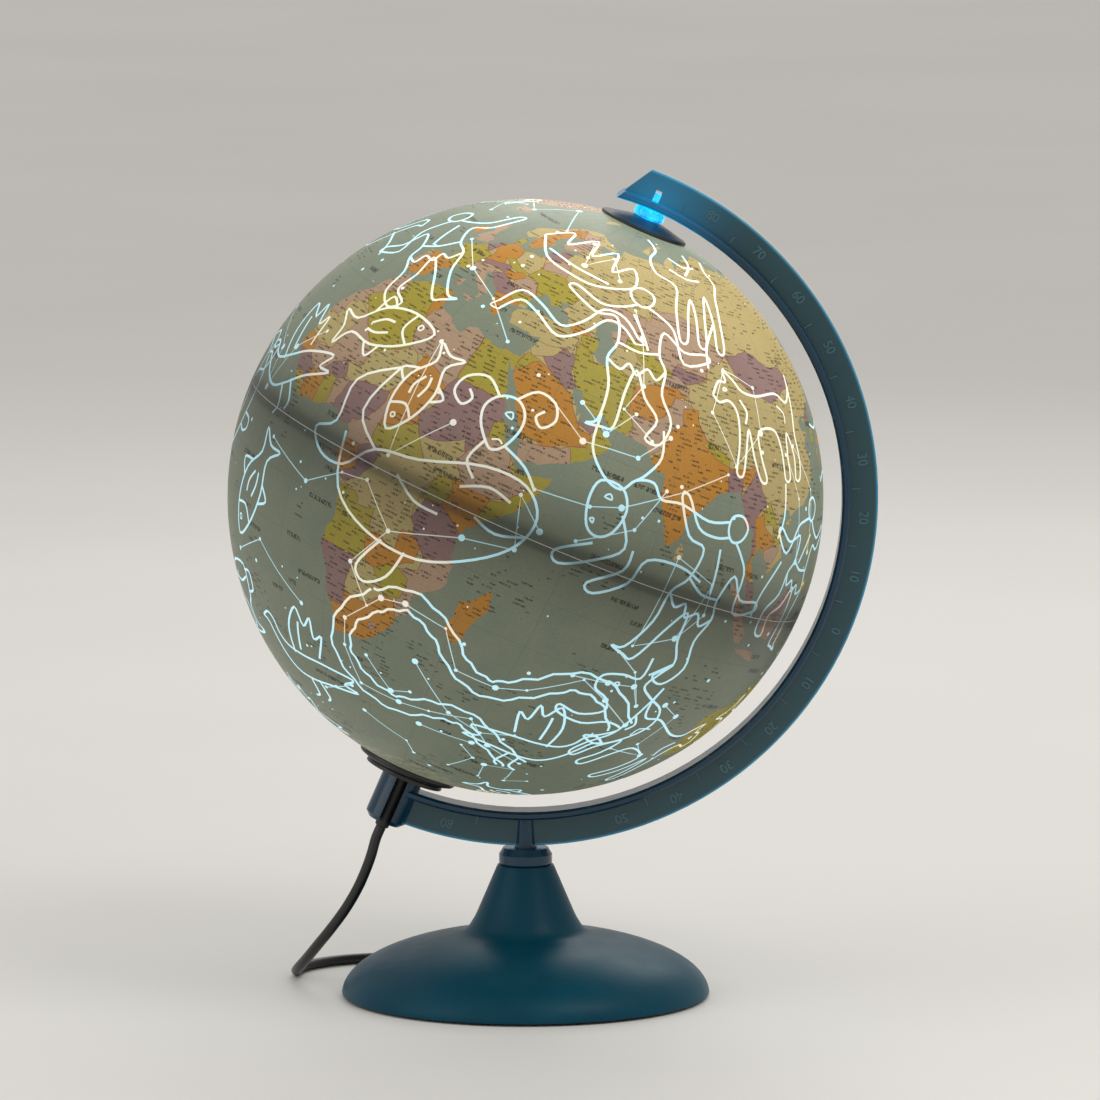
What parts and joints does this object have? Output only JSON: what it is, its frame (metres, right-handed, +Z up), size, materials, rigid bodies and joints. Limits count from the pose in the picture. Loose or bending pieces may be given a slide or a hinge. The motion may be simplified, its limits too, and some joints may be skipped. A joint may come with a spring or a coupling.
{
  "type": "desktop globe on stand",
  "caption": "Illuminated desktop globe turning on a tilted semi-meridian arm over a domed round base, with lamp and mains lead.",
  "frame": {"origin": "on the table under the centre of the object's own footprint, ball and arm together; the base axis stands 11.5 mm to the left of it", "axes": "+Z up; the arm lies in the X-Z plane and the ball's axis tilts 23.5 degrees towards +X; -Y faces the viewer"},
  "size_m": [0.273, 0.29, 0.3503],
  "materials": {
    "map_north": "printed globe skin, satin, lit from inside",
    "map_south": "printed globe skin, satin, lit from inside",
    "seam_plastic": "moulded, satin",
    "black_plastic": "fine moulded texture",
    "inner_plastic": "natural moulded plastic",
    "arm_blue": "tinted translucent acrylic, moulded",
    "button_blue": "tinted translucent acrylic, polished",
    "plated_steel": "zinc plated",
    "brass": "stamped and turned",
    "bulb_glass": "frosted, lit",
    "cord_black": "smooth cable jacket, slight sheen",
    "rubber_black": "soft rubber",
    "base_teal": "satin moulded, fine grain",
    "ballast_iron": "as stamped",
    "cover_plastic": "matt moulded",
    "pin_metal": "nickel plated"
  },
  "bodies": {
    "stand": {"meridian_arm": "arm_blue", "pivot_button": "button_blue", "lamp_plate": "black_plastic", "lamp_stem": "plated_steel", "stem_nut": "brass", "lamp_holder": "black_plastic", "holder_skirt": "black_plastic", "terminal_screws": "plated_steel", "socket_shell": "brass", "centre_contact": "brass", "bulb_cap": "plated_steel", "bulb_glass": "bulb_glass", "lamp_lead": "cord_black", "strain_relief": "rubber_black", "base_shell": "base_teal", "base_ballast": "ballast_iron", "base_cover": "cover_plastic", "cover_screws": "plated_steel", "rubber_pads": "rubber_black", "arm_screw": "plated_steel", "arm_washer": "plated_steel", "power_cord": "cord_black", "cord_coil": "cord_black", "plug_body": "cord_black", "plug_pins": "pin_metal"},
    "ball": {"north_hemisphere": "map_north", "south_hemisphere": "map_south", "equator_ring": "seam_plastic", "north_cap": "black_plastic", "north_retainer": "inner_plastic", "south_bush": "black_plastic", "south_retainer": "inner_plastic"}
  },
  "joints": [
    {"name": "globe_spin", "type": "hinge", "parent": "stand", "child": "ball", "pos_m": [-0.0115, 0, 0.212], "axis": [0.3987, 0, 0.9171], "continuous": true}
  ]
}
